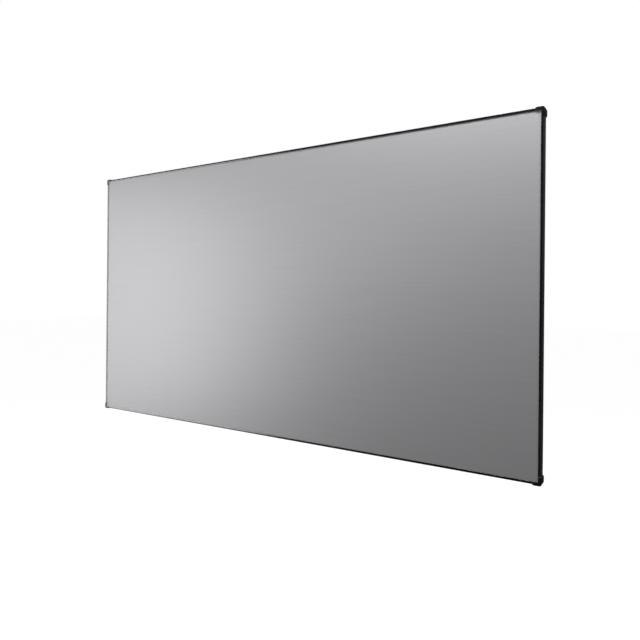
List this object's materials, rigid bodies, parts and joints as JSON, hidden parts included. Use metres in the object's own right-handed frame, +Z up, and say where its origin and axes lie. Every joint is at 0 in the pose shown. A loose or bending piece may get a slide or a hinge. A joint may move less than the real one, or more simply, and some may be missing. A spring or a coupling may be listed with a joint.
{
  "type": "projector screen",
  "caption": "Fixed-frame projector screen: a grey optical sheet held taut by springs over a mitred aluminium frame, with thin black bezel strips, corner caps and wall brackets.",
  "frame": {"origin": "middle of the whole object, which is the centre of the picture in X and Z and halfway between the front of the corner caps and the wall in Y", "axes": "+X to the right as the viewer sees the picture, +Y from the picture towards the wall, +Z up"},
  "size_m": [2.238, 0.046, 1.269],
  "materials": {
    "screen_sheet": "grey optical film on soft vinyl, satin with fine horizontal ribs",
    "edging": "black vinyl strip, welded and folded",
    "rail": "satin natural anodised extrusion",
    "support_bar": "mill finish tube",
    "bezel": "satin black anodised strip",
    "cap": "black moulded ABS",
    "joining_plate": "bright zinc plating",
    "bar_clip": "bright zinc plating",
    "rod_and_springs": "bright spring wire on a pale glass-fibre rod",
    "screw": "black oxide",
    "wall_bracket": "black powder coat"
  },
  "bodies": {
    "root": {"screen_sheet": "screen_sheet", "centre_support_bar": "support_bar", "top_bar_clip": "bar_clip", "top_bar_clip_screw": "screw", "bottom_bar_clip": "bar_clip", "bottom_bar_clip_screw": "screw", "top_rail_left": "rail", "top_rail_right": "rail", "bottom_rail_left": "rail", "bottom_rail_right": "rail", "left_rail": "rail", "right_rail": "rail", "top_bezel_left": "bezel", "top_bezel_right": "bezel", "bottom_bezel_left": "bezel", "bottom_bezel_right": "bezel", "left_bezel": "bezel", "right_bezel": "bezel", "top_edging": "edging", "bottom_edging": "edging", "left_edging": "edging", "right_edging": "edging", "top_rod_and_springs": "rod_and_springs", "bottom_rod_and_springs": "rod_and_springs", "left_rod_and_springs": "rod_and_springs", "right_rod_and_springs": "rod_and_springs", "top_splice_plate": "joining_plate", "top_splice_screw_left": "screw", "top_splice_screw_right": "screw", "bottom_splice_plate": "joining_plate", "bottom_splice_screw_left": "screw", "bottom_splice_screw_right": "screw", "top_left_elbow": "joining_plate", "top_left_elbow_screw_1": "screw", "top_left_elbow_screw_2": "screw", "top_left_elbow_screw_3": "screw", "top_left_elbow_screw_4": "screw", "top_right_elbow": "joining_plate", "top_right_elbow_screw_1": "screw", "top_right_elbow_screw_2": "screw", "top_right_elbow_screw_3": "screw", "top_right_elbow_screw_4": "screw", "bottom_left_elbow": "joining_plate", "bottom_left_elbow_screw_1": "screw", "bottom_left_elbow_screw_2": "screw", "bottom_left_elbow_screw_3": "screw", "bottom_left_elbow_screw_4": "screw", "bottom_right_elbow": "joining_plate", "bottom_right_elbow_screw_1": "screw", "bottom_right_elbow_screw_2": "screw", "bottom_right_elbow_screw_3": "screw", "bottom_right_elbow_screw_4": "screw", "top_left_cap": "cap", "top_right_cap": "cap", "bottom_left_cap": "cap", "bottom_right_cap": "cap", "top_wall_bracket_left": "wall_bracket", "top_wall_bracket_right": "wall_bracket", "bottom_wall_bracket_left": "wall_bracket", "bottom_wall_bracket_right": "wall_bracket"}
  },
  "joints": []
}
